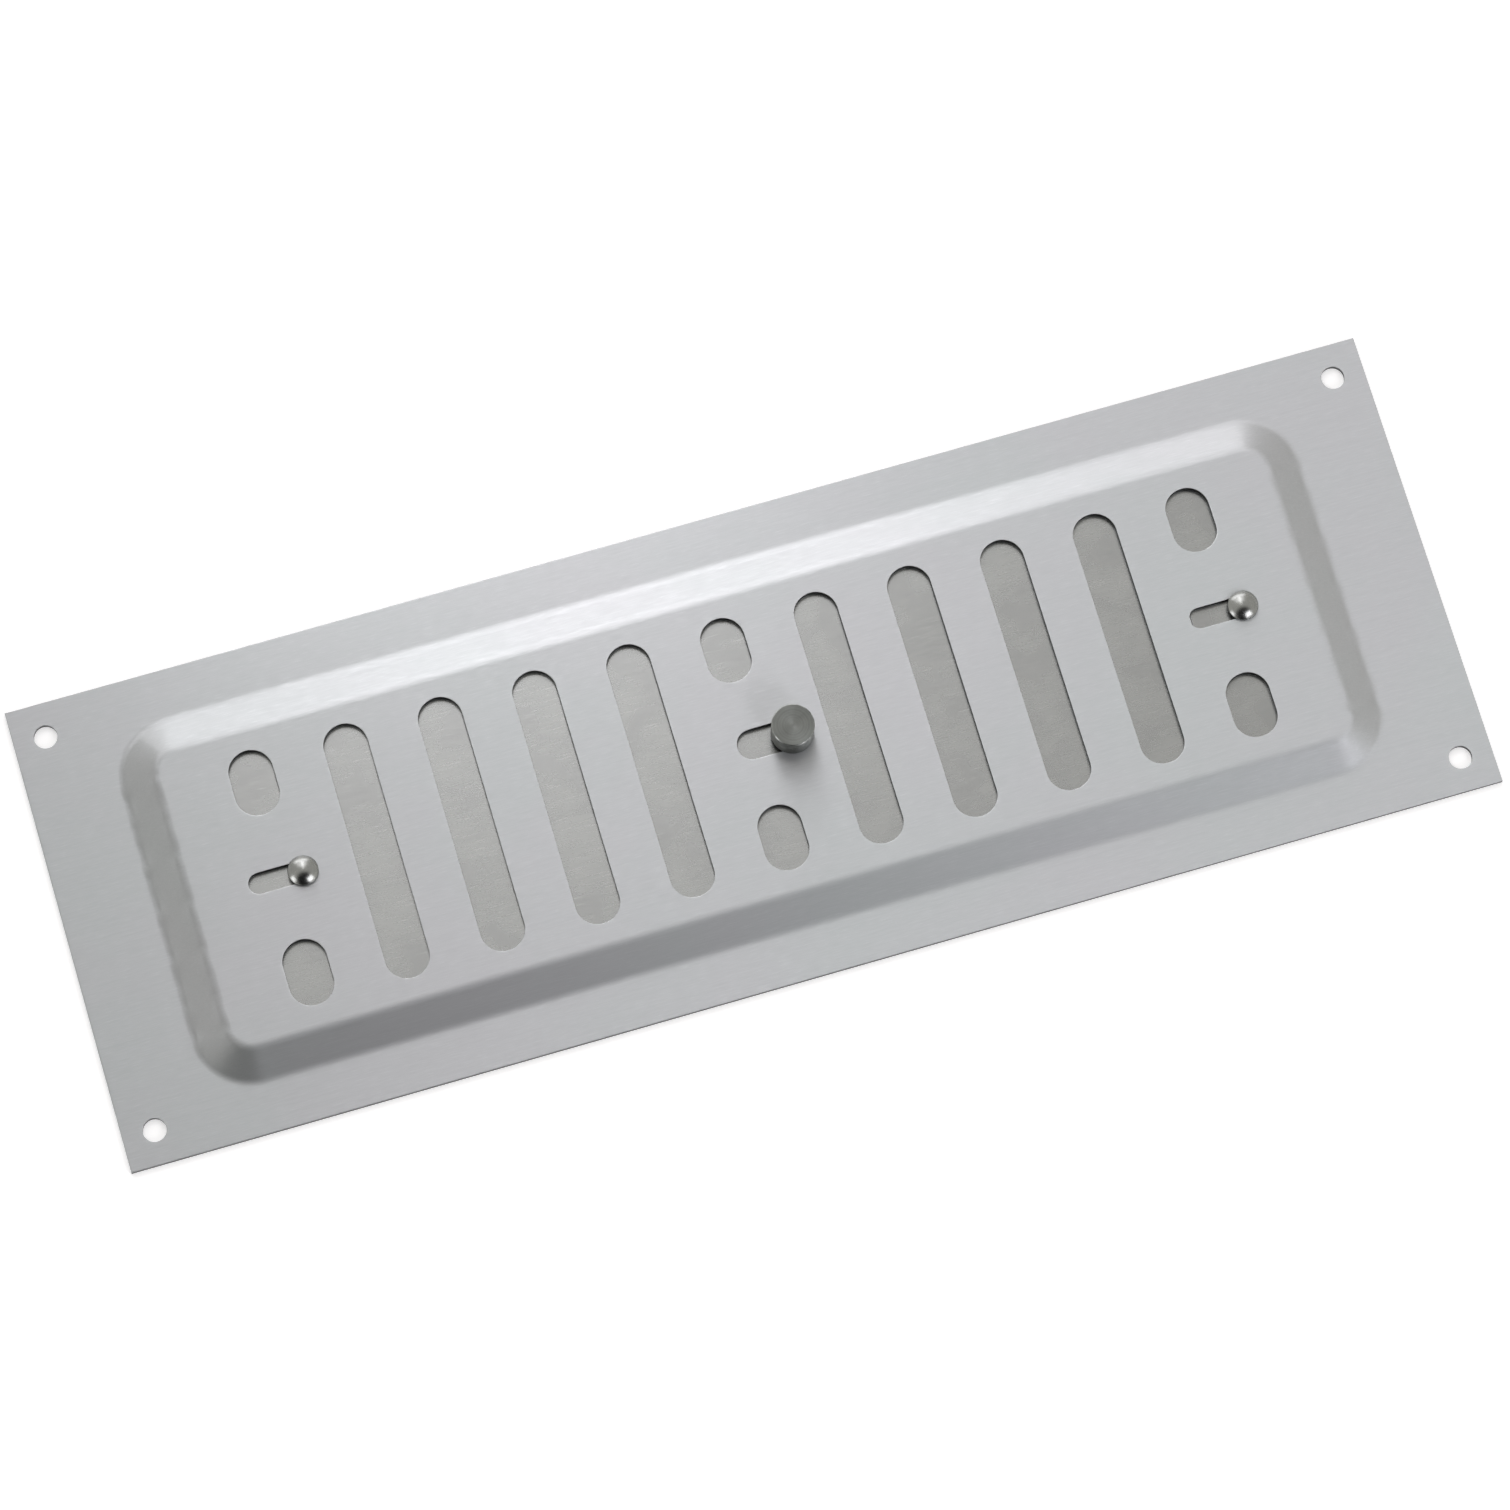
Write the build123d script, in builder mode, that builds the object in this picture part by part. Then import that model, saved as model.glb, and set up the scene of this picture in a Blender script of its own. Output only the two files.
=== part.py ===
from build123d import *
import math
import os

# Adjustable vent grille: a pressed face plate with a slotted shutter that slides behind it.
# Lengths are in millimetres. X runs along the plate, Y across it and Z from the wall to the room.
# The origin is the middle of the flange's back face, which lies on the wall.
# At rest the shutter is closed, at the right-hand end of its travel, and it opens to the left.

# Air slots, punched in columns along the plate
column_count = 11
slot_width = 7.2
slot_length = 43.5
short_slot_length = 11.0

# Shutter: closed, its bars lap over the air slots by these widths at the left and at the right
closing_lap = 0.1
far_lap = 1.3
slide_thickness = 0.8
slide_side_cover = 2.6
slide_end_cover = 1.1
slide_corner_radius = 1.5
slide_gap = 0.2
slide_room = 1.15

# Face plate, pressed from one sheet
sheet_thickness = 1.0
bevel_run = 5.4
field_corner_radius = 4.0
field_bend_radius = 4.0
foot_bend_radius = 3.5
flange_end = 15.2
flange_side = 8.35

# Screw holes in the flange's corners
screw_hole_diameter = 3.8
screw_hole_end_inset = 5.35
screw_hole_side_inset = 5.65

# Guides that the rivets and the knob run in
rivet_guide_width = 3.5
rivet_side_clearance = 0.15
knob_guide_width = 5.0
knob_side_clearance = 0.7
knob_guide_offset = 2.7
guide_end_clearance = 0.1
head_clearance = 0.1

# Domed rivets with a hollow tail
rivet_head_overhang = 0.75
rivet_head_edge = 0.25
rivet_dome_height = 1.1
rivet_shoulder = 0.4
rivet_tail_wall = 0.5
rivet_tail_spread = 0.7
rivet_bore_depth = 1.2

# Turned knob
knob_overhang = 1.0
knob_height = 4.9
knob_chamfer = 0.25
knob_shoulder = 0.4
knob_tail_spread = 0.8

# Washers that the tails are spread over
spigot_clearance = 0.05
washer_thickness = 0.4
rivet_washer_rim = 1.8
knob_washer_rim = 2.6
tail_height = 0.6
tail_taper = 0.25
wall_clearance = 0.2

# Travel: one slot width and a little more, so that the shutter's bars cover the air slots
travel = slot_width + closing_lap

# Heights above the wall, from the wall outwards
tail_back = wall_clearance
washer_back = tail_back + tail_height
slide_back = washer_back + washer_thickness
slide_front = slide_back + slide_thickness
field_rise = slide_front + slide_gap
field_front = field_rise + sheet_thickness
head_back = field_front + head_clearance

# Columns: the middle one and the two end ones are parted by the guides
column_pitch = 2 * slot_width + closing_lap + far_lap
grid_half_length = (column_count - 1) * column_pitch / 2
columns = [i * column_pitch - grid_half_length for i in range(column_count)]
left_column = columns[0]
knob_column = columns[column_count // 2]
right_column = columns[-1]
guide_columns = [left_column, knob_column, right_column]
air_columns = [x for x in columns if x not in guide_columns]
short_slot_y = (slot_length - short_slot_length) / 2
short_slot_places = [(x, y) for x in guide_columns for y in (short_slot_y, -short_slot_y)]

# Pins, heads and tails are sized from the guides
rivet_head_diameter = rivet_guide_width + 2 * rivet_head_overhang
rivet_shank_diameter = rivet_guide_width - 2 * rivet_side_clearance
rivet_spigot_diameter = rivet_shank_diameter - 2 * rivet_shoulder
rivet_tail_diameter = rivet_spigot_diameter + 2 * rivet_tail_spread
rivet_bore_diameter = rivet_spigot_diameter - 2 * rivet_tail_wall
rivet_washer_diameter = rivet_spigot_diameter + 2 * rivet_washer_rim
knob_diameter = knob_guide_width + 2 * knob_overhang
knob_neck_diameter = knob_guide_width - 2 * knob_side_clearance
knob_spigot_diameter = knob_neck_diameter - 2 * knob_shoulder
knob_tail_diameter = knob_spigot_diameter + 2 * knob_tail_spread
knob_washer_diameter = knob_spigot_diameter + 2 * knob_washer_rim

# Guides are as long as the travel, the pin that runs in them and its clearance at both ends
rivet_guide_length = travel + rivet_shank_diameter + 2 * guide_end_clearance
knob_guide_length = travel + knob_neck_diameter + 2 * guide_end_clearance
knob_guide_x = knob_column + knob_guide_offset

# Places of the shutter and its pins with the shutter closed
slide_centre = travel / 2
left_rivet_x = left_column + travel / 2
right_rivet_x = right_column + travel / 2
knob_x = knob_guide_x + travel / 2

# Shutter's outline
slide_length = 2 * (grid_half_length + slide_end_cover) + rivet_guide_length + travel
slide_width = slot_length + 2 * slide_side_cover

# Raised field, its foot and the whole plate, with room for the shutter at both ends of its travel
field_length = slide_length + travel + 2 * slide_room
field_width = slide_width + 2 * slide_room
foot_length = field_length + 2 * bevel_run
foot_width = field_width + 2 * bevel_run
foot_radius = field_corner_radius + bevel_run
plate_length = foot_length + 2 * flange_end
plate_width = foot_width + 2 * flange_side

# The back of the sheet follows the front: its bend lines lie inwards by this much
bevel_angle = math.atan2(field_rise, bevel_run)
bend_shift = sheet_thickness * math.tan(bevel_angle / 2)

os.makedirs("parts", exist_ok=True)

# Face plate: blank, raised field with conical corners, and the hollow that the shutter slides in
with BuildPart() as face_plate:
    with BuildSketch(Plane.XY):
        Rectangle(plate_length, plate_width)
    extrude(amount=sheet_thickness)
    with BuildSketch(Plane.XY.offset(sheet_thickness)):
        RectangleRounded(foot_length, foot_width, foot_radius)
    with BuildSketch(Plane.XY.offset(field_front)):
        RectangleRounded(field_length, field_width, field_corner_radius)
    loft(ruled=True)
    level_faces = face_plate.faces().filter_by(Axis.Z)
    fillet(level_faces.sort_by(Axis.Z)[-1].outer_wire().edges(), field_bend_radius)
    flange_front = face_plate.faces().filter_by(Axis.Z).sort_by(Axis.Z)[1]
    fillet(flange_front.inner_wires()[0].edges(), foot_bend_radius)

    with BuildSketch(Plane.XY):
        RectangleRounded(
            foot_length - 2 * bend_shift,
            foot_width - 2 * bend_shift,
            foot_radius - bend_shift,
        )
    with BuildSketch(Plane.XY.offset(field_rise)):
        RectangleRounded(
            field_length - 2 * bend_shift,
            field_width - 2 * bend_shift,
            field_corner_radius - bend_shift,
        )
    loft(ruled=True, mode=Mode.SUBTRACT)
    flange_back = face_plate.faces().filter_by(Axis.Z).sort_by(Axis.Z)[0]
    fillet(flange_back.inner_wires()[0].edges(), foot_bend_radius + sheet_thickness)
    ceiling = face_plate.faces().filter_by(Axis.Z).sort_by(Axis.Z)[-2]
    fillet(ceiling.outer_wire().edges(), field_bend_radius - sheet_thickness)

    # Air slots and guides
    with BuildSketch(Plane.XY.offset(field_front)):
        with Locations(*[(x, 0) for x in air_columns]):
            SlotOverall(slot_length, slot_width, rotation=90)
        with Locations(*short_slot_places):
            SlotOverall(short_slot_length, slot_width, rotation=90)
        with Locations((left_column, 0), (right_column, 0)):
            SlotOverall(rivet_guide_length, rivet_guide_width)
        with Locations((knob_guide_x, 0)):
            SlotOverall(knob_guide_length, knob_guide_width)
    extrude(amount=-2 * sheet_thickness, mode=Mode.SUBTRACT)

    # Screw holes
    with GridLocations(
        plate_length - 2 * screw_hole_end_inset,
        plate_width - 2 * screw_hole_side_inset,
        2,
        2,
    ):
        Hole(screw_hole_diameter / 2)

# Shutter: a flat plate with the same air slots, one travel to the right of the face plate's
with BuildPart() as slide_plate:
    with BuildSketch(Plane.XY.offset(slide_back)):
        with Locations((slide_centre, 0)):
            RectangleRounded(slide_length, slide_width, slide_corner_radius)
        with Locations(*[(x + travel, 0) for x in air_columns]):
            SlotOverall(slot_length, slot_width, rotation=90, mode=Mode.SUBTRACT)
        with Locations(*[(x + travel, y) for x, y in short_slot_places]):
            SlotOverall(short_slot_length, slot_width, rotation=90, mode=Mode.SUBTRACT)
        with Locations((left_rivet_x, 0), (right_rivet_x, 0)):
            Circle(rivet_spigot_diameter / 2 + spigot_clearance, mode=Mode.SUBTRACT)
        with Locations((knob_x, 0)):
            Circle(knob_spigot_diameter / 2 + spigot_clearance, mode=Mode.SUBTRACT)
    extrude(amount=slide_thickness)

# Knob: turned in one piece with the neck that runs in its guide and the spigot that holds it
with BuildPart() as control_knob:
    knob_top = head_back + knob_height
    with BuildSketch(Plane.XZ.shift_origin((knob_x, 0, 0))):
        with BuildLine():
            Polyline(
                (0, knob_top),
                (knob_diameter / 2 - knob_chamfer, knob_top),
                (knob_diameter / 2, knob_top - knob_chamfer),
                (knob_diameter / 2, head_back),
                (knob_neck_diameter / 2, head_back),
                (knob_neck_diameter / 2, slide_front),
                (knob_spigot_diameter / 2, slide_front),
                (knob_spigot_diameter / 2, washer_back),
                (knob_tail_diameter / 2, washer_back),
                (knob_tail_diameter / 2 - tail_taper, tail_back),
                (0, tail_back),
                close=True,
            )
        make_face()
    revolve(axis=Axis((knob_x, 0, 0), (0, 0, 1)))

# Rivets: a domed head in front, a shouldered shank in the guide and a hollow tail, spread
# over its washer
rivets = []
for side, rivet_x in (("left", left_rivet_x), ("right", right_rivet_x)):
    with BuildPart() as rivet:
        dome_foot = head_back + rivet_head_edge
        dome_top = dome_foot + rivet_dome_height
        bore_top = tail_back + rivet_bore_depth
        with BuildSketch(Plane.XZ.shift_origin((rivet_x, 0, 0))):
            with BuildLine():
                TangentArc((0, dome_top), (rivet_head_diameter / 2, dome_foot), tangent=(1, 0))
                Polyline(
                    (rivet_head_diameter / 2, dome_foot),
                    (rivet_head_diameter / 2, head_back),
                    (rivet_shank_diameter / 2, head_back),
                    (rivet_shank_diameter / 2, slide_front),
                    (rivet_spigot_diameter / 2, slide_front),
                    (rivet_spigot_diameter / 2, washer_back),
                    (rivet_tail_diameter / 2, washer_back),
                    (rivet_tail_diameter / 2 - tail_taper, tail_back),
                    (rivet_bore_diameter / 2, tail_back),
                    (rivet_bore_diameter / 2, bore_top),
                    (0, bore_top),
                    (0, dome_top),
                )
            make_face()
        revolve(axis=Axis((rivet_x, 0, 0), (0, 0, 1)))
    rivet.part.label = f"{side}_rivet"
    rivets.append(rivet.part)

# Washers under the tails, flat against the shutter's back
washers = []
for name, washer_x, washer_diameter, spigot_diameter in (
    ("left_rivet_washer", left_rivet_x, rivet_washer_diameter, rivet_spigot_diameter),
    ("right_rivet_washer", right_rivet_x, rivet_washer_diameter, rivet_spigot_diameter),
    ("knob_washer", knob_x, knob_washer_diameter, knob_spigot_diameter),
):
    with BuildPart() as washer:
        with BuildSketch(Plane.XY.offset(washer_back)):
            with Locations((washer_x, 0)):
                Circle(washer_diameter / 2)
                Circle(spigot_diameter / 2 + spigot_clearance, mode=Mode.SUBTRACT)
        extrude(amount=washer_thickness)
    washer.part.label = name
    washers.append(washer.part)

face_plate.part.label = "face_plate"
slide_plate.part.label = "slide_plate"
control_knob.part.label = "control_knob"
for piece in [face_plate.part, slide_plate.part, control_knob.part] + rivets + washers:
    export_step(piece, f"parts/{piece.label}.step")
print(f"plate {plate_length:.2f} x {plate_width:.2f}, field front at {field_front:.2f}")
print(f"travel {travel:.2f}, bevel {math.degrees(bevel_angle):.1f} degrees")
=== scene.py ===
import math
import bmesh
import bpy
import numpy as np
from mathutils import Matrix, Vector


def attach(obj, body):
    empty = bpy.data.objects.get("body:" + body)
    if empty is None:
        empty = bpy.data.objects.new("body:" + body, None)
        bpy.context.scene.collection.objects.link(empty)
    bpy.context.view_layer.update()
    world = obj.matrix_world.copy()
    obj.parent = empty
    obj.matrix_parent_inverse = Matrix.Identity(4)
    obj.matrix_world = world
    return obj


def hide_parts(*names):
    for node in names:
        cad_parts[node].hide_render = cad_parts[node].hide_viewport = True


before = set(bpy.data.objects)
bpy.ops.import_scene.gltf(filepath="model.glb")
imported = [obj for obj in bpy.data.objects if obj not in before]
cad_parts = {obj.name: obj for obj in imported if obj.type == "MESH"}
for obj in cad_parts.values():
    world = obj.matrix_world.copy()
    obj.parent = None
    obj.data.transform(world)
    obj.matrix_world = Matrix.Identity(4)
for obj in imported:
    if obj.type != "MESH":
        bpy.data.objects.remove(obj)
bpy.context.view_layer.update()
scene = bpy.context.scene
mm = 0.001
brushUnit = 100.0  # mm per unit of the UV map that brush marks follow


# Camera: a long lens, in front of the vent and a little below its middle
cameraLook = {
    "place": (-0.09155, -0.24366, 0.97189),
    "turnDegrees": (14.8964, -1.0898, -16.5488),
    "lens": 148.489,  # mm, as the sensor
    "sensor": 36,
    "clip": (0.05, 50),
}


def placeCamera(look):
    data = bpy.data.cameras.new("photoCamera")
    data.lens = look["lens"]
    data.sensor_width = look["sensor"]
    data.clip_start, data.clip_end = look["clip"]
    camera = bpy.data.objects.new("photoCamera", data)
    camera.location = look["place"]
    camera.rotation_euler = [math.radians(angle) for angle in look["turnDegrees"]]
    scene.collection.objects.link(camera)
    scene.camera = camera


placeCamera(cameraLook)
scene.view_settings.view_transform = "Standard"
print("camera placed")


# Node helpers. A value that is a socket is linked to the input; any other becomes its own value.
def addNode(tree, kind, place, settings=None, values=None):
    node = tree.nodes.new("ShaderNode" + kind)
    node.location = place
    for key, value in (settings or {}).items():
        setattr(node, key, value)
    for key, value in (values or {}).items():
        if isinstance(value, bpy.types.NodeSocket):
            tree.links.new(value, node.inputs[key])
        else:
            node.inputs[key].default_value = value
    return node


def addMath(tree, operation, place, values, kind="Math", clamp=False):
    node = addNode(tree, kind, place, {"operation": operation}, dict(enumerate(values)))
    if clamp:
        node.use_clamp = True
    return node.outputs[0]


# A material's or the world's node tree, emptied
def emptyTree(owner):
    owner.use_nodes = True
    owner.node_tree.nodes.clear()
    return owner.node_tree


# A shader group with one number as its output; an input without a start value is a vector
def newGroup(name, inputs, output):
    tree = bpy.data.node_groups.new(name, "ShaderNodeTree")
    for label, value in inputs.items():
        kind = "NodeSocketVector" if value is None else "NodeSocketFloat"
        socket = tree.interface.new_socket(label, in_out="INPUT", socket_type=kind)
        if value is not None:
            socket.default_value = value
    tree.interface.new_socket(output, in_out="OUTPUT", socket_type="NodeSocketFloat")
    first = tree.nodes.new("NodeGroupInput")
    first.location = (-900, 0)
    last = tree.nodes.new("NodeGroupOutput")
    last.location = (700, 0)
    return tree, first.outputs, last.inputs[output]


def placeGroup(tree, group, place, values):
    return addNode(tree, "Group", place, {"node_tree": group}, values).outputs[0]


# Fine marks that run along X: noise that is stretched to the marks' length and width in mm
def makeGrainGroup():
    tree, given, result = newGroup("grainMarks", {"Place": None, "Length": 8.0, "Width": 0.25}, "Mark")
    perLength = addMath(tree, "DIVIDE", (-680, 60), (1 / mm, given["Length"]))
    perWidth = addMath(tree, "DIVIDE", (-680, -120), (1 / mm, given["Width"]))
    scales = addNode(tree, "CombineXYZ", (-500, 0), None, {"X": perLength, "Y": perWidth, "Z": perWidth})
    factors = (given["Place"], scales.outputs[0])
    stretched = addMath(tree, "MULTIPLY", (-320, 120), factors, "VectorMath")
    values = {"Vector": stretched, "Scale": 1.0, "Detail": 3.0, "Roughness": 0.6}
    noise = addNode(tree, "TexNoise", (-120, 120), None, values)
    values = {"Value": noise.outputs["Fac"], "From Min": 0.3, "From Max": 0.7}
    spread = addNode(tree, "MapRange", (120, 120), None, values)
    tree.links.new(spread.outputs["Result"], result)
    return tree


# Soft patches, such as handling marks and rolling stains
def makePatchGroup():
    tree, given, result = newGroup("softPatches", {"Place": None, "Size": 20.0}, "Patch")
    perSize = addMath(tree, "DIVIDE", (-680, 0), (1 / mm, given["Size"]))
    values = {
        "Vector": given["Place"], "Scale": perSize, "Detail": 4.0, "Roughness": 0.55, "Distortion": 0.4
    }
    noise = addNode(tree, "TexNoise", (-120, 120), None, values)
    values = {"Value": noise.outputs["Fac"], "From Min": 0.32, "From Max": 0.68}
    spread = addNode(tree, "MapRange", (120, 120), {"interpolation_type": "SMOOTHSTEP"}, values)
    tree.links.new(spread.outputs["Result"], result)
    return tree


# Wear along rims, with a painted highlight on them: the rim attribute of the mesh, broken up by small noise
def makeWearAndHighlightGroup():
    inputs = {"Place": None, "Rim": 0.0, "Size": 1.5, "Amount": 0.5}
    tree, given, result = newGroup("rimWearAndHighlight", inputs, "Wear")
    perSize = addMath(tree, "DIVIDE", (-680, 0), (1 / mm, given["Size"]))
    values = {"Vector": given["Place"], "Scale": perSize, "Detail": 3.0, "Roughness": 0.65}
    noise = addNode(tree, "TexNoise", (-320, 120), None, values)
    values = {"Value": noise.outputs["Fac"], "From Min": 0.35, "From Max": 0.65}
    broken = addNode(tree, "MapRange", (-120, 120), None, values)
    wornAndLitRim = addMath(tree, "MULTIPLY", (100, 60), (broken.outputs["Result"], given["Rim"]))
    scaled = addMath(tree, "MULTIPLY", (300, 60), (wornAndLitRim, given["Amount"]), clamp=True)
    tree.links.new(scaled, result)
    return tree


grainMarks = makeGrainGroup()
softPatches = makePatchGroup()
rimWearAndHighlight = makeWearAndHighlightGroup()
print("node groups made")


# Values that a metal finish starts from; lengths are in mm
plainMetal = {
    "toneA": (0.6, 0.6, 0.6),
    "toneB": (0.65, 0.65, 0.65),
    "patchSize": 20.0,
    "markLength": 8.0,
    "markWidth": 0.4,
    "markTone": (0.7, 0.7, 0.7),
    "markShare": 0.1,
    "fineLength": 3.0,
    "fineWidth": 0.12,
    "dashTone": (0.8, 0.8, 0.8),
    "dashShare": 0.0,
    "dashSpan": (0.78, 0.98),
    "wearAndHighlightSize": 1.0,
    "wearAndHighlightTone": (0.8, 0.8, 0.8),
    "wearAndHighlightAmount": 0.3,
    "roughWide": 0.5,
    "roughSharp": 0.4,
    "roughPatch": 0.03,
    "sharpSpan": (0.6, 0.95),
    "bumpStrength": 0.1,
    "bumpDepth": 0.02,
    "anisotropic": 0.0,
    "edgeTint": (1.0, 1.0, 1.0),
    "coat": 0.0,
    "coatRough": 0.2,
    "coatIor": 1.5,
    "turned": False,
}


# One metal material. Colour: two tones in soft patches, then marks, dashes and rims over them, which are worn
# and
# carry a painted highlight. Roughness: wide, with sharper lines where the fine marks are strong, and a
# glossier clear coat where the look has one. A turned piece's marks follow its UV map, so that they run round
# it.
def makeMetal(name, look):
    look = {**plainMetal, **look}
    material = bpy.data.materials.new(name)
    tree = emptyTree(material)
    place = addNode(tree, "TexCoord", (-1500, 0)).outputs["Object"]
    markPlace = place
    if look["turned"]:
        ring = addNode(tree, "UVMap", (-1500, -200), {"uv_map": "brush"})
        values = {0: ring.outputs[0], "Scale": brushUnit * mm}
        markPlace = addNode(tree, "VectorMath", (-1300, -200), {"operation": "SCALE"}, values).outputs[0]
    rim = addNode(tree, "Attribute", (-1300, -460), {"attribute_name": "rim"}).outputs["Fac"]
    markSize = {"Place": markPlace, "Length": look["markLength"], "Width": look["markWidth"]}
    fineSize = {"Place": markPlace, "Length": look["fineLength"], "Width": look["fineWidth"]}
    wearAndHighlightSize = {"Place": place, "Rim": rim, "Size": look["wearAndHighlightSize"], "Amount": look["wearAndHighlightAmount"]}
    patch = placeGroup(tree, softPatches, (-1050, 260), {"Place": place, "Size": look["patchSize"]})
    mark = placeGroup(tree, grainMarks, (-1050, 40), markSize)
    fine = placeGroup(tree, grainMarks, (-1050, -180), fineSize)
    wearAndHighlight = placeGroup(tree, rimWearAndHighlight, (-1050, -400), wearAndHighlightSize)

    def layTone(under, share, tone, place):
        # A tone over the one under it; a Mix node's colours are its inputs 6 and 7 and output 2
        values = {0: share, 6: under, 7: (*tone, 1)}
        return addNode(tree, "Mix", place, {"data_type": "RGBA"}, values).outputs[2]

    def ramp(value, low, high, top, place):
        # 0 below low, up to top at high
        values = {"Value": value, "From Min": low, "From Max": high, "To Max": top}
        return addNode(tree, "MapRange", place, None, values).outputs["Result"]

    tones = layTone((*look["toneA"], 1), patch, look["toneB"], (-560, 340))
    markShare = ramp(mark, 0.0, 1.0, look["markShare"], (-780, 140))
    tones = layTone(tones, markShare, look["markTone"], (-400, 300))
    if look["dashShare"] > 0:
        dashShare = ramp(fine, *look["dashSpan"], look["dashShare"], (-780, 0))
        tones = layTone(tones, dashShare, look["dashTone"], (-240, 260))
    # rims lighter: partly wear, partly a painted highlight
    tones = layTone(tones, wearAndHighlight, look["wearAndHighlightTone"], (-80, 220))

    sharper = look["roughSharp"] - look["roughWide"]
    sharp = ramp(fine, *look["sharpSpan"], sharper, (-780, -140))
    patched = addMath(tree, "MULTIPLY_ADD", (-560, -60), (patch, look["roughPatch"], look["roughWide"]))
    rough = addMath(tree, "ADD", (-400, -100), (patched, sharp))
    heights = addMath(tree, "ADD", (-560, -300), (mark, fine))
    values = {"Strength": look["bumpStrength"], "Distance": look["bumpDepth"] * mm, "Height": heights}
    bump = addNode(tree, "Bump", (-340, -300), None, values)
    values = {
        "Base Color": tones,
        "Roughness": rough,
        "Normal": bump.outputs["Normal"],
        "Metallic": 1.0,
        "Specular Tint": (*look["edgeTint"], 1),
        "Anisotropic": look["anisotropic"],
        "Anisotropic Rotation": 0.25,  # a quarter turn, so that shine spreads across the marks
        "Coat Weight": look["coat"],
        "Coat Roughness": look["coatRough"],
        "Coat IOR": look["coatIor"],
    }
    if look["anisotropic"] > 0:
        brushed = {"direction_type": "UV_MAP", "uv_map": "brush"}
        values["Tangent"] = addNode(tree, "Tangent", (-340, -520), brushed).outputs["Tangent"]
    shader = addNode(tree, "BsdfPrincipled", (160, 100), None, values)
    addNode(tree, "OutputMaterial", (460, 100), None, {"Surface": shader.outputs[0]})
    return material


# Grid helpers. A strip is rows of points (rows, columns, 3), closed along its columns; between two
# rows each pair of neighbouring points makes one four-sided face. The rim value of a point says how
# near a rim it is, which is worn and carries a painted highlight.
def closedStrip(points, uv, material=0, rim=None):
    return {
        "points": points,
        "uv": uv,
        "material": material,
        "rim": np.zeros(points.shape[:2]) if rim is None else rim,
    }


mergeDistance = 0.002  # mm, well under the smallest face
tolerance = 1e-6  # mm, for lengths that should be equal


# Puts strips into one mesh with whole arrays and merges the points where strips meet
def meshFromStrips(name, strips, materials, body, node):
    coordinates, rims, faces, uvs, indices = [], [], [], [], []
    start = 0
    for strip in strips:
        rows, columns = strip["points"].shape[:2]
        thisRow = np.arange(rows - 1)[:, None] * columns
        nextRow = thisRow + columns
        column = np.arange(columns)[None, :]
        nextColumn = (column + 1) % columns
        quads = [thisRow + column, nextRow + column, nextRow + nextColumn, thisRow + nextColumn]
        faces.append(np.stack(quads, -1).reshape(-1, 4) + start)
        uv = strip["uv"]
        uvs.append(np.stack([uv[:-1, :-1], uv[1:, :-1], uv[1:, 1:], uv[:-1, 1:]], 2).reshape(-1, 2))
        indices.append(np.full((rows - 1) * columns, strip["material"]))
        coordinates.append(strip["points"].reshape(-1, 3))
        rims.append(strip["rim"].reshape(-1))
        start += rows * columns
    coordinates = np.concatenate(coordinates) * mm
    faces = np.concatenate(faces)
    mesh = bpy.data.meshes.new(name)
    mesh.vertices.add(len(coordinates))
    mesh.vertices.foreach_set("co", coordinates.astype(np.float32).ravel())
    mesh.loops.add(faces.size)
    mesh.loops.foreach_set("vertex_index", faces.astype(np.int32).ravel())
    mesh.polygons.add(len(faces))
    mesh.polygons.foreach_set("loop_start", np.arange(0, faces.size, 4, dtype=np.int32))
    mesh.polygons.foreach_set("material_index", np.concatenate(indices).astype(np.int32))
    layer = mesh.uv_layers.new(name="brush")
    layer.uv.foreach_set("vector", np.concatenate(uvs).astype(np.float32).ravel())
    rimLayer = mesh.attributes.new("rim", "FLOAT", "POINT")
    rimLayer.data.foreach_set("value", np.concatenate(rims).astype(np.float32))
    mesh.update(calc_edges=True)
    tidy = bmesh.new()
    tidy.from_mesh(mesh)
    bmesh.ops.remove_doubles(tidy, verts=tidy.verts, dist=mergeDistance * mm)
    tidy.to_mesh(mesh)
    tidy.free()
    mesh.shade_smooth()
    for material in materials:
        mesh.materials.append(material)
    piece = bpy.data.objects.new(name, mesh)
    scene.collection.objects.link(piece)
    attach(piece, body)
    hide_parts(node)
    print(name, "made with", len(mesh.polygons), "faces")


# Walks round a closed polygon; level and upright sides also get a point at each grid line
def gridPath(corners, lines):
    corners = np.asarray(corners, float)
    parts = []
    for start, end in zip(corners, np.roll(corners, -1, axis=0)):
        parts.append(start[None])
        for axis, other in ((0, 1), (1, 0)):
            if abs(start[other] - end[other]) < tolerance:
                low, high = sorted((start[axis], end[axis]))
                inside = lines[axis]
                inside = inside[(inside > low + tolerance) & (inside < high - tolerance)]
                inside = inside if end[axis] > start[axis] else inside[::-1]
                points = np.empty((len(inside), 2))
                points[:, axis] = inside
                points[:, other] = start[other]
                parts.append(points)
    return np.concatenate(parts)


def boxCorners(lowX, highX, lowY, highY):
    return [(lowX, lowY), (highX, lowY), (highX, highY), (lowX, highY)]


# Even lines and the fixed ones, without even lines within a share of a step (room) of a fixed one
def gridLines(limit, step, fixed, room=0.4):
    fixed = np.unique(np.asarray(fixed, float))
    even = np.arange(-limit, limit + step / 2, step)
    even = even[np.abs(even[:, None] - fixed[None, :]).min(1) > room * step]
    return np.unique(np.concatenate([even, fixed]))


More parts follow.
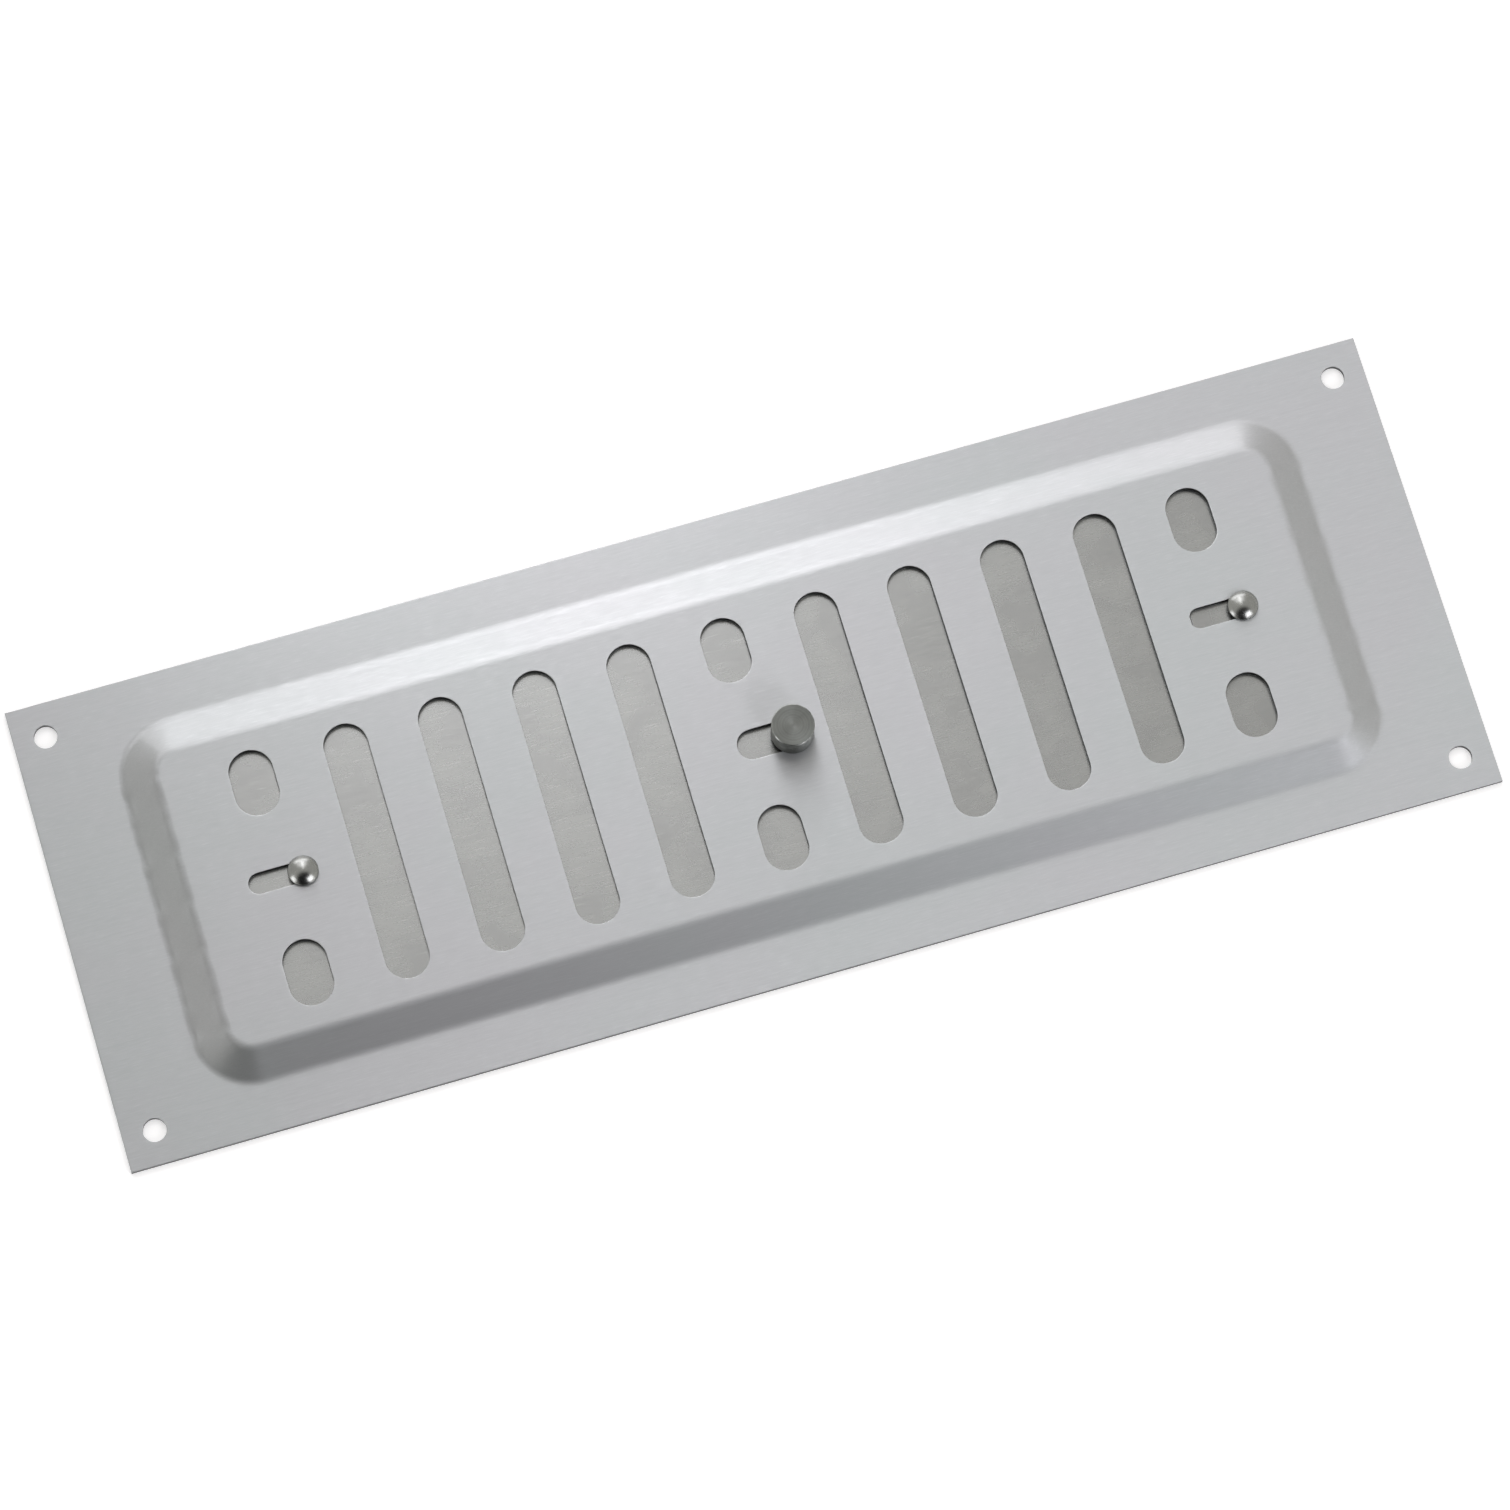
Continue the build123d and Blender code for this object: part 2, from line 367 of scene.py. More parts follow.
# Unit vectors from the nearest point of a spine (a to b) to each point, and those nearest points
def fromSpine(points, a, b):
    a, b = np.asarray(a, float), np.asarray(b, float)
    span = b - a
    length = float(span @ span)
    share = np.clip((points - a) @ span / length, 0, 1) if length > 0 else np.zeros(len(points))
    nearest = a + share[:, None] * span
    away = points - nearest
    return nearest, away / np.linalg.norm(away, axis=1)[:, None]


# Unit vectors from the nearest point of a rectangle's core to each point outside it
def fromCore(points, halfLength, halfWidth):
    nearest = np.clip(points, [-halfLength, -halfWidth], [halfLength, halfWidth])
    away = points - nearest
    return nearest, away / np.linalg.norm(away, axis=1)[:, None]


# Points of the plan with a height, which may be one number or one for each row or point
def withHeight(flat, height):
    height = np.broadcast_to(np.asarray(height, float), flat.shape[:-1])
    return np.concatenate([flat, height[..., None]], -1)


# Strips of sheet metal. The brush map of faces and rims is the plan, so that marks run along X, and
# a wall's is x + y across and z + y up. Its last column repeats the first.
def brushMap(plan):
    return np.concatenate([plan, plan[:, :1]], axis=1) / brushUnit


def faceStrip(rows, rim=None):
    return closedStrip(rows, brushMap(rows[..., :2]), 0, rim)


def rimStrip(rows):
    return faceStrip(rows, np.ones(rows.shape[:2]))


def wallStrip(rows):
    return closedStrip(rows, brushMap(rows[..., [0, 2]] + rows[..., [1, 1]]), 1)


quarterTurn = np.linspace(0, np.pi / 2, 4)  # the arc of a rim, in three steps
sheetEdge = {
    "roll": 0.06,  # radius of the rim on the punch side, in mm
    "burr": 0.04,  # and of the sharper one on the back
    "wearReach": 0.25,
    "rollSupport": 1.3,  # the wall's rows begin this many rim radii from the front
    "burrSupport": 1.6,  # and from the back
    "wallRows": 2,
    "cellRows": (0.0, 0.02, 0.06, 0.2, 0.5, 0.97, 1.0),  # shares of the way to a cell's border
}


# A cell of sheet round one opening: the back from the cell's border to the opening, the opening's
# wall with its rolled front rim and sharper back rim, and the front out to the border again.
# Rows follow the opening's outline, which lies a radius from its spine. The front's wear and painted
# rim highlight fall off with the distance from the opening.
def openingCell(border, spine, radius, front, back, edge):
    nearest, away = fromSpine(border, *spine)
    shares = np.array(edge["cellRows"])
    roll, burr = edge["roll"], edge["burr"]

    def sheetRows(rim, level):
        outline = nearest + away * (radius + rim)
        rows = outline[None] + shares[:, None, None] * (border - outline)[None]
        return withHeight(rows, level)

    def outlineRows(offsets, levels):
        rows = nearest[None] + away[None] * (radius + offsets)[:, None, None]
        return withHeight(rows, levels[:, None])

    distance = np.linalg.norm(border - nearest, axis=1)[None] - radius
    frontWearAndHighlight = np.exp(-(roll + shares[:, None] * (distance - roll)) / edge["wearReach"])
    fromWall = 1 - np.cos(quarterTurn)
    upRim = 1 - np.sin(quarterTurn)
    frontRoll = outlineRows(roll * fromWall, front - roll * upRim)
    backRoll = outlineRows(burr * fromWall[::-1], back + burr * upRim[::-1])
    wallLow = back + burr * edge["burrSupport"]
    wallHigh = front - roll * edge["rollSupport"]
    middle = outlineRows(np.zeros(edge["wallRows"]), np.linspace(wallLow, wallHigh, edge["wallRows"]))
    return [
        faceStrip(sheetRows(burr, back)[::-1]),
        rimStrip(backRoll),
        wallStrip(np.concatenate([backRoll[-1:], middle, frontRoll[:1]])),
        rimStrip(frontRoll),
        faceStrip(sheetRows(roll, front), frontWearAndHighlight),
    ]


# A cell round an upright slot, whose spine runs between the centres of its round ends
def slotCell(box, lines, middle, length, radius, front, back, edge):
    x, y = middle
    reach = length / 2 - radius
    return openingCell(gridPath(box, lines), ((x, y - reach), (x, y + reach)), radius, front, back, edge)


# The sheet's outer edge: from the front face's border over the rolled rim, down the wall and in
# under the back. Each border point moves out along its side, and the corners along both.
def edgeWall(border, low, high, front, back, edge):
    out = np.isclose(border, high).astype(float) - np.isclose(border, low).astype(float)
    roll, burr = edge["roll"], edge["burr"]

    def rowsAt(offsets, levels):
        return withHeight(border[None] + out[None] * offsets[:, None, None], levels[:, None])

    fromTop = 1 - np.cos(quarterTurn)
    fromEnd = 1 - np.sin(quarterTurn)
    frontRoll = rowsAt(roll * np.sin(quarterTurn), front - roll * fromTop)
    backRoll = rowsAt(roll - burr * fromTop, back + burr * fromEnd)
    wallHigh = front - roll * edge["rollSupport"]
    wallLow = back + burr * edge["burrSupport"]
    middle = rowsAt(np.full(edge["wallRows"], roll), np.linspace(wallHigh, wallLow, edge["wallRows"]))
    return [
        rimStrip(frontRoll),
        wallStrip(np.concatenate([frontRoll[-1:], middle, backRoll[:1]])),
        rimStrip(backRoll),
        faceStrip(rowsAt(np.array([roll - burr, 0.0]), np.array([back, back]))),
    ]


# Face plate
facePlate = {
    "length": 229.0,
    "width": 78.5,
    "thickness": 1.0,
    "fieldLength": 187.8,
    "fieldWidth": 51.0,
    "fieldCorner": 4.0,
    "bevelRun": 5.4,
    "rise": 2.2,
    "topBend": 4.0,
    "footBend": 3.5,
    "waver": 0.3,
    "waves": ((1, 2.7), (0.8, 4.3), (0.7, 7.9)),  # share and period
    "waverFrom": 0.9,  # how squarely a side faces along X where the waver starts; it is full at 1
    "waverReach": 0.9,  # away from a bend
    "waverFade": 0.5,  # at the first and last rows
    "pitch": 15.8,
    "slotRadius": 3.6,
    "slotLength": 43.5,
    "shortLength": 11.0,
    "rivetGuide": (10.7, 1.75),  # length and radius, as the knob's
    "knobGuide": (11.1, 2.5),
    "knobGuideX": 2.7,
    "holeRadius": 1.9,
    "holePlace": (109.15, 33.6),
    "columns": 11,
    "gridStep": (1.1, 0.8),  # along X and Y
    "gridInset": 2.5,  # the flat field's grid ends this far inside the field's outline
    "guideCell": 6.5,  # half the width of a guide's cell
    "knobCellEnd": 1.95,  # from the knob guide's end to its cell's
    "holeCell": (4.65, 4.6),  # from a screw hole's middle to the inner sides of its cell
    # rows of the bevel, as distances outside the field's outline, close together at the two bends
    "headRows": (-1.6, -0.9, -0.785, -0.6, -0.4, -0.2, 0.0, 0.2, 0.4, 0.6, 0.73, 0.85),
    "slopeRows": (1.6, 2.4, 3.2, 4.0),
    "footRows": (-1.1, -0.8, -0.636, -0.4, -0.2, 0.0, 0.2, 0.4, 0.55, 0.69, 0.9, 1.8),  # from the foot
    # and of the flange, as shares of the way to its border; a thin one keeps the rim's shade there
    "flangeRows": (0.3, 0.65, 0.98, 1.0),
}
satinFinish = {
    "toneA": (0.537, 0.55, 0.566),
    "toneB": (0.53, 0.563, 0.567),
    "patchSize": 45.0,
    "markLength": 9.0,
    "markWidth": 0.3,
    "markTone": (0.64, 0.66, 0.67),
    "markShare": 0.24,
    "fineLength": 2.2,
    "fineWidth": 0.1,
    "dashTone": (0.7, 0.72, 0.73),
    "dashShare": 0.3,
    # the rims' lighter tone: wear, and a painted highlight along them
    "wearAndHighlightTone": (0.8, 0.83, 0.84),
    "wearAndHighlightAmount": 0.25,
    "roughWide": 0.555,
    "roughSharp": 0.465,
    "roughPatch": 0.01,
    "sharpSpan": (0.35, 0.8),
    "bumpStrength": 0.03,
    "anisotropic": 0.86,
    "coat": 1.0,
    "coatRough": 0.16,
    "coatIor": 1.85,
}
# Walls of everything that is punched or sheared, near black as painted shade of walls and gaps
shadedShearFinish = {
    "toneA": (0.04, 0.041, 0.043),
    "toneB": (0.08, 0.081, 0.083),
    "patchSize": 3.0,
    "markLength": 0.15,
    "markWidth": 2.0,
    "markTone": (0.18, 0.18, 0.18),
    "markShare": 0.3,
    "fineLength": 0.08,
    "fineWidth": 0.8,
    "wearAndHighlightTone": (0.5, 0.5, 0.5),
    "roughWide": 0.5,
    "roughSharp": 0.35,
    "bumpStrength": 0.3,
}


# Height of a pressed slope at a distance outside the raised field's outline: level, an arc that
# bends down, a straight slope, an arc that bends level again
def pressedHeight(distance, run, rise, topRadius, footRadius):
    angle = np.arctan2(rise, run)
    top = topRadius * np.tan(angle / 2)
    foot = footRadius * np.tan(angle / 2)
    bendDown = rise - topRadius + np.sqrt(np.maximum(topRadius**2 - (distance + top) ** 2, 0))
    slope = rise - distance * np.tan(angle)
    bendUp = footRadius - np.sqrt(np.maximum(footRadius**2 - (distance - run - foot) ** 2, 0))
    ends = (-top, top * np.cos(angle), run - foot * np.cos(angle), run + foot)
    return np.select([distance < end for end in ends], [rise, bendDown, slope, bendUp], 0.0)


# Where the face plate's cells meet. Half sizes of the field's core (its corners' centres), of the
# flat field, of the middle between the screw holes' cells and of the flange's border; the columns
# of slots and the bounds between them; the grid lines along X and Y that all the cells share.
def facePlan(size, edge):
    corner = size["fieldCorner"]
    coreX = size["fieldLength"] / 2 - corner
    coreY = size["fieldWidth"] / 2 - corner
    fieldX = coreX + corner - size["gridInset"]
    fieldY = coreY + corner - size["gridInset"]
    innerX = size["holePlace"][0] - size["holeCell"][0]
    innerY = size["holePlace"][1] - size["holeCell"][1]
    borderX = size["length"] / 2 - edge["roll"]
    borderY = size["width"] / 2 - edge["roll"]
    knobColumn = size["columns"] // 2
    columns = (np.arange(size["columns"]) - knobColumn) * size["pitch"]
    bounds = np.concatenate([[-fieldX], columns[:-1] + size["pitch"] / 2, [fieldX]])
    bounds[knobColumn + 1] = size["knobGuideX"] + size["knobGuide"][0] / 2 + size["knobCellEnd"]
    xFixed = [sign * x for x in (coreX, innerX, borderX) for sign in (1, -1)]
    yFixed = [sign * y for y in (size["guideCell"], coreY, fieldY, innerY, borderY) for sign in (1, -1)]
    return {
        "core": (coreX, coreY),
        "field": (fieldX, fieldY),
        "inner": (innerX, innerY),
        "border": (borderX, borderY),
        "knobColumn": knobColumn,
        "columns": columns,
        "bounds": bounds,
        "lines": (
            gridLines(borderX, size["gridStep"][0], [*bounds, *xFixed]),
            gridLines(borderY, size["gridStep"][1], yFixed),
        ),
    }


# How far the bends waver along the plate's short sides: sines of the outline's y, faded in by how
# squarely the side faces along X, and out away from the two bends
def sideWaver(size, nearest, away, distance):
    alongSide = nearest[:, 1] + away[:, 1] * size["fieldCorner"]
    waver = sum(share * np.sin(alongSide * 2 * np.pi / period) for share, period in size["waves"])
    facing = (np.abs(away[:, 0]) - size["waverFrom"]) / (1 - size["waverFrom"])
    waver *= size["waver"] / 2 * np.clip(facing, 0, 1) ** 2
    fromBends = [(distance - bend) / size["waverReach"] for bend in (0, size["bevelRun"])]
    nearBend = sum(np.exp(-(reach**2)) for reach in fromBends)
    nearBend *= np.clip(np.minimum(distance - distance[1], distance[-1] - distance) / size["waverFade"], 0, 1)
    return waver[None] * nearBend[:, None]


# Bevel and flange: rows are outlines at growing distance from the raised field, then run out to the
# border, which steps in round the four corner cells. A row's height is the pressed one at its
# distance; the back's bends are smaller or larger by the sheet's thickness.
def bevelAndFlange(size, plan):
    thickness, run, rise = size["thickness"], size["bevelRun"], size["rise"]
    innerX, innerY = plan["inner"]
    borderX, borderY = plan["border"]
    steps = [
        (borderX, -innerY), (borderX, innerY), (innerX, innerY), (innerX, borderY),
        (-innerX, borderY), (-innerX, innerY), (-borderX, innerY), (-borderX, -innerY),
        (-innerX, -innerY), (-innerX, -borderY), (innerX, -borderY), (innerX, -innerY),
    ]
    outer = gridPath(steps, plan["lines"])
    nearest, away = fromCore(outer, *plan["core"])
    footRows = run + np.array(size["footRows"])
    distance = np.array([-size["gridInset"], *size["headRows"], *size["slopeRows"], *footRows])
    contour = nearest[None] + away[None] * (size["fieldCorner"] + distance)[:, None, None]
    shares = np.array(size["flangeRows"])[:, None, None]
    rows = np.concatenate([contour, contour[-1:] + shares * (outer - contour[-1])[None]])
    flatRows = np.zeros((len(shares), len(outer)))
    wavered = distance[:, None] + sideWaver(size, nearest, away, distance)
    topBend, footBend = size["topBend"], size["footBend"]
    shift = thickness * math.tan(math.atan2(rise, run) / 2)
    lift = pressedHeight(wavered, run, rise, topBend, footBend)
    hollow = pressedHeight(wavered + shift, run, rise, topBend - thickness, footBend + thickness)
    front = withHeight(rows, np.concatenate([lift, flatRows]) + thickness)
    back = withHeight(rows, np.concatenate([hollow, flatRows]))[::-1]
    return [faceStrip(front), faceStrip(back)], contour[0]


# Puts the field's round corner, a stretch of the bevel's first outline, in place of a box's sharp
# one. Its points are sorted by their turn from the corner's diagonal, counter-clockwise.
def roundedBox(box, sharp, outline, core):
    signs = np.sign(sharp)
    middle = signs * core
    arc = outline[((outline - middle) * signs > -tolerance).all(axis=1)]
    away = arc - middle
    turn = np.arctan2(signs[0] * away[:, 1] - signs[1] * away[:, 0], away @ signs)
    place = box.index(sharp)
    return box[:place] + arc[np.argsort(turn)].tolist() + box[place + 1:]


# Air slots, guides and the flat field between them: one column of cells for each pitch
def fieldCells(size, plan, outline, edge):
    fieldX, fieldY = plan["field"]
    bounds, lines = plan["bounds"], plan["lines"]
    levels = (size["rise"] + size["thickness"], size["rise"])
    radius, splitY = size["slotRadius"], size["guideCell"]
    shortMiddle = (size["slotLength"] - size["shortLength"]) / 2
    lastColumn, knobColumn = size["columns"] - 1, plan["knobColumn"]
    strips = []
    for number, x in enumerate(plan["columns"]):
        low, high = bounds[number], bounds[number + 1]
        if number not in (0, knobColumn, lastColumn):
            box = boxCorners(low, high, -fieldY, fieldY)
            strips += slotCell(box, lines, (x, 0), size["slotLength"], radius, *levels, edge)
            continue
        guideLength, guideRadius = size["knobGuide"] if number == knobColumn else size["rivetGuide"]
        guideX = size["knobGuideX"] if number == knobColumn else x
        guideReach = guideLength / 2 - guideRadius
        spine = ((guideX - guideReach, 0), (guideX + guideReach, 0))
        border = gridPath(boxCorners(low, high, -splitY, splitY), lines)
        strips += openingCell(border, spine, guideRadius, *levels, edge)
        for side in (1, -1):
            box = boxCorners(low, high, *sorted((side * splitY, side * fieldY)))
            if number != knobColumn:
                end = 1 if number == lastColumn else -1
                box = roundedBox(box, (end * fieldX, side * fieldY), outline, plan["core"])
            middle = (x, side * shortMiddle)
            strips += slotCell(box, lines, middle, size["shortLength"], radius, *levels, edge)
    return strips


# A cell round each screw hole
def screwCells(size, plan, edge):
    innerX, innerY = plan["inner"]
    borderX, borderY = plan["border"]
    holeX, holeY = size["holePlace"]
    strips = []
    for signX in (1, -1):
        for signY in (1, -1):
            spanX = sorted((signX * innerX, signX * borderX))
            spanY = sorted((signY * innerY, signY * borderY))
            border = gridPath(boxCorners(*spanX, *spanY), plan["lines"])
            middle = (signX * holeX, signY * holeY)
            strips += openingCell(border, (middle, middle), size["holeRadius"], size["thickness"], 0.0, edge)
    return strips


def buildFacePlate(size, edge, materials):
    plan = facePlan(size, edge)
    strips, outline = bevelAndFlange(size, plan)
    strips += fieldCells(size, plan, outline, edge)
    strips += screwCells(size, plan, edge)
    x, y = plan["border"]
    border = gridPath([(x, -y), (x, y), (-x, y), (-x, -y)], plan["lines"])
    strips += edgeWall(border, (-x, -y), (x, y), size["thickness"], 0.0, edge)
    meshFromStrips("facePanel", strips, materials, "face", "face_plate")


# sheared walls are near black: painted shade
shadedShearEdge = makeMetal("shadedShearEdge", shadedShearFinish)
buildFacePlate(facePlate, sheetEdge, [makeMetal("satinFace", satinFinish), shadedShearEdge])


# Shutter
shutter = {
    "length": 178.2,
    "width": 48.7,
    "middleX": 3.65,
    "back": 1.2,  # the heights of its two faces
    "front": 2.0,
    "corner": 1.5,
    "travel": 7.3,
    "rivetHole": 1.25,
    "knobHole": 1.45,
    "rivetX": (-75.35, 82.65),
    "knobX": 6.35,
    "gridStep": 0.9,
    "guideCell": 6.5,  # half the width of the cells round the pins' holes
    "rimStep": 0.1,  # the flat rows next to a rim
    "wallSupport": (1.4, 1.8),  # as rollSupport and burrSupport, for the outer wall
    "fanPoints": 9,  # round each corner
}
# The shutter's mill finish; its tones are darkened, partly as painted shade of the face plate over it
millAndShadeFinish = {
    "toneA": (0.371, 0.383, 0.379),
    "toneB": (0.402, 0.414, 0.407),
    "patchSize": 7.0,
    "markLength": 4.0,
    "markWidth": 0.6,
    "markTone": (0.515, 0.52, 0.515),
    "markShare": 0.16,
    "fineLength": 4.5,
    "fineWidth": 0.2,
    "dashTone": (0.68, 0.69, 0.685),
    "dashShare": 0.28,
    "wearAndHighlightTone": (0.65, 0.66, 0.64),
    "roughWide": 0.27,
    "roughSharp": 0.24,
    "roughPatch": 0.01,
    "bumpStrength": 0.006,
    "anisotropic": 0.3,
}


# The margin and the outer wall: each point of the cells' border goes out along its side, and each
# corner in a fan, then over the rolled rim, down the wall and in underneath
def shutterMargin(size, low, high, lines, edge):
    corners = [(high[0], low[1]), (high[0], high[1]), (low[0], high[1]), (low[0], low[1])]
    core = gridPath(corners, lines)
    side = np.isclose(core, high).astype(float) - np.isclose(core, low).astype(float)
    turn = np.arctan2(side[:, 1], side[:, 0])
    isCorner = np.abs(side).all(axis=1)
    fan = np.linspace(-np.pi / 4, np.pi / 4, size["fanPoints"])
    spots = np.repeat(np.arange(len(core)), np.where(isCorner, len(fan), 1))
    turns = turn[spots]
    turns[isCorner[spots]] += np.tile(fan, int(isCorner.sum()))
    away = np.c_[np.cos(turns), np.sin(turns)]
    core = core[spots]
    front, back, radius, step = size["front"], size["back"], size["corner"], size["rimStep"]
    roll, burr = edge["roll"], edge["burr"]
    rollSupport, burrSupport = size["wallSupport"]

    def rowsAt(offsets, levels):
        offsets, levels = np.asarray(offsets, float), np.asarray(levels, float)
        return withHeight(core[None] + away[None] * offsets[:, None, None], levels[:, None])

    fromTop = 1 - np.cos(quarterTurn)
    fromEnd = 1 - np.sin(quarterTurn)
    wallLevels = [front - roll, front - roll * rollSupport, back + burr * burrSupport, back + burr]
    top = rowsAt([0, radius / 3, radius - roll - step, radius - roll], [front] * 4)
    frontRoll = rowsAt(radius - roll + roll * np.sin(quarterTurn), front - roll * fromTop)
    wall = rowsAt([radius] * 4, wallLevels)
    backRoll = rowsAt(radius - burr * fromTop, back + burr * fromEnd)
    under = rowsAt([radius - burr, radius - burr - step, radius / 3, 0], [back] * 4)
    outerWall = closedStrip(wall, brushMap(wall[..., :2]), 1)
    return [faceStrip(top), rimStrip(frontRoll), outerWall, rimStrip(backRoll), faceStrip(under)]


# Cells like the face plate's, moved along by the travel, inside a margin
def buildShutter(size, face, edge, materials):
    halfX, halfY = size["length"] / 2 - size["corner"], size["width"] / 2 - size["corner"]
    low = np.array([size["middleX"] - halfX, -halfY])
    high = np.array([size["middleX"] + halfX, halfY])
    lastColumn, knobColumn = face["columns"] - 1, face["columns"] // 2
    columns = (np.arange(face["columns"]) - knobColumn) * face["pitch"] + size["travel"]
    bounds = np.concatenate([[low[0]], columns[:-1] + face["pitch"] / 2, [high[0]]])
    splitY = size["guideCell"]
    limit = math.ceil(high[0] / 10) * 10  # even lines start from a multiple of 10 mm
    lines = (
        gridLines(limit, size["gridStep"], bounds),
        gridLines(halfY, size["gridStep"], [splitY, -splitY, halfY, -halfY]),
    )
    levels, radius = (size["front"], size["back"]), face["slotRadius"]
    shortMiddle = (face["slotLength"] - face["shortLength"]) / 2
    holes = {
        0: (size["rivetX"][0], size["rivetHole"]),
        knobColumn: (size["knobX"], size["knobHole"]),
        lastColumn: (size["rivetX"][1], size["rivetHole"]),
    }
    strips = []
    for number, x in enumerate(columns):
        left, right = bounds[number], bounds[number + 1]
        if number not in holes:
            box = boxCorners(left, right, -halfY, halfY)
            strips += slotCell(box, lines, (x, 0), face["slotLength"], radius, *levels, edge)
            continue
        holeX, holeRadius = holes[number]
        border = gridPath(boxCorners(left, right, -splitY, splitY), lines)
        strips += openingCell(border, ((holeX, 0), (holeX, 0)), holeRadius, *levels, edge)
        for side in (1, -1):
            box = boxCorners(left, right, *sorted((side * splitY, side * halfY)))
            middle = (x, side * shortMiddle)
            strips += slotCell(box, lines, middle, face["shortLength"], radius, *levels, edge)
    strips += shutterMargin(size, low, high, lines, edge)
    meshFromStrips("shutterPlate", strips, materials, "shutter", "slide_plate")


buildShutter(shutter, facePlate, sheetEdge, [makeMetal("shadedMillShutter", millAndShadeFinish), shadedShearEdge])


# Turned pieces: a profile of (radius, height) points, from the top middle down to the bottom
# middle, with each corner rounded by an arc, carried round an upright axis
arcSteps = 5
supportReach = 1.35  # times the arc's reach: where the point beside an arc lies


# Each corner with a radius becomes an arc that touches both its sides, drawn by turning from one
# touching point to the other, with a point beside it on either side
def roundedProfile(corners, radii):
    corners = np.asarray(corners, float)
    parts = [corners[:1]]
    for before, here, after, radius in zip(corners[:-2], corners[1:-1], corners[2:], radii):
        if radius <= 0:
            parts.append(here[None])
            continue
        toBefore = (before - here) / np.linalg.norm(before - here)
        toAfter = (after - here) / np.linalg.norm(after - here)
        halfTurn = math.acos(np.clip(toBefore @ toAfter, -1, 1)) / 2
        tangent = radius / math.tan(halfTurn)
        inwards = (toBefore + toAfter) / np.linalg.norm(toBefore + toAfter)
        middle = here + inwards * radius / math.sin(halfTurn)
        first, last = here + toBefore * tangent - middle, here + toAfter * tangent - middle
        sweep = math.pi - 2 * halfTurn
        share = np.linspace(0, 1, arcSteps + 1)[:, None]
        arc = (first * np.sin((1 - share) * sweep) + last * np.sin(share * sweep)) / math.sin(sweep)
        beside = [here + side * tangent * supportReach for side in (toBefore, toAfter)]
        parts += [beside[0][None], middle + arc, beside[1][None]]
    parts.append(corners[-1:])
    return np.concatenate(parts)


# Rings of points round the axis at x. The brush map goes once round, and down along the profile.
def turnedStrip(profile, x, segments, material=0, rim=None):
    angle = np.linspace(0, 2 * np.pi, segments, endpoint=False)
    radius, height = profile[:, :1], profile[:, 1:]
    rings = [x + radius * np.cos(angle), radius * np.sin(angle), height]
    points = np.stack(np.broadcast_arrays(*rings), -1)
    along = np.concatenate([[0], np.cumsum(np.linalg.norm(np.diff(profile, axis=0), axis=1))])
    share = np.linspace(0, 1, segments + 1)
    uv = np.stack(np.broadcast_arrays(share[None, :], along[:, None] / brushUnit), -1)
    rims = np.zeros((len(profile), segments)) if rim is None else np.repeat(rim[:, None], segments, 1)
    return closedStrip(points, uv, material, rims)


# Heights that the knob, the rivets and the washers share
stack = {
    "headBack": 3.3,
    "slideFront": shutter["front"],
    "washerFront": shutter["back"],
    "washerBack": 0.8,
    "tailBack": 0.2,
}


# A pin below its head: a neck that keeps the shutter off the head, a spigot through the shutter and
# the washer, and a tail that is spread over the washer
def pinCorners(size, levels):
    return [
        (size["neck"], levels["headBack"]), (size["neck"], levels["slideFront"]),
        (size["spigot"], levels["slideFront"]), (size["spigot"], levels["washerBack"]),
        (size["tail"], levels["washerBack"]), (size["tail"] - size["tailTaper"], levels["tailBack"]),
    ]


knob = {
    "radius": 3.5,
    "top": 8.2,
    "neck": 1.8,
    "spigot": 1.4,
    "chamfer": (0.14, 0.12),  # across and down
    "dish": 0.04,
    "dishPoints": 12,
    "highlightReach": (0.01, 0.05),  # the chamfer's painted highlight goes this far past it, in and down
    "sideStart": 0.2,  # the side's darker material, painted shade, starts this far below the chamfer
    "tail": 2.2,
    "tailTaper": 0.25,
    "rounding": (0.06, 0.08, 0.12, 0.04, 0.05, 0.03, 0.03, 0.08, 0.12),  # corners, from the top down
    "segments": 128,
}
turnedFinish = {
    "toneA": (0.14, 0.15, 0.141),
    "toneB": (0.18, 0.19, 0.18),
    "patchSize": 3.0,
    "markLength": 1e6,  # without an end, right round the piece
    "markWidth": 0.3,
    "markTone": (0.4, 0.415, 0.4),
    "markShare": 0.2,
    "fineLength": 1e6,
    "fineWidth": 0.08,
    # the chamfer's bright tone is a painted highlight
    "wearAndHighlightTone": (0.5, 0.52, 0.5),
    "wearAndHighlightAmount": 0.9,
    "roughWide": 0.36,
    "roughSharp": 0.26,
    "bumpStrength": 0.12,
    "bumpDepth": 0.01,
    "anisotropic": 0.5,
    "turned": True,
}
# The knob's side: the same metal made darker and less reflective, as painted shade
shadedSideFinish = {
    **turnedFinish,
    "toneA": (0.045, 0.05, 0.046),
    "toneB": (0.075, 0.08, 0.076),
    "markShare": 0.08,
    "edgeTint": (0.2, 0.21, 0.2),
}


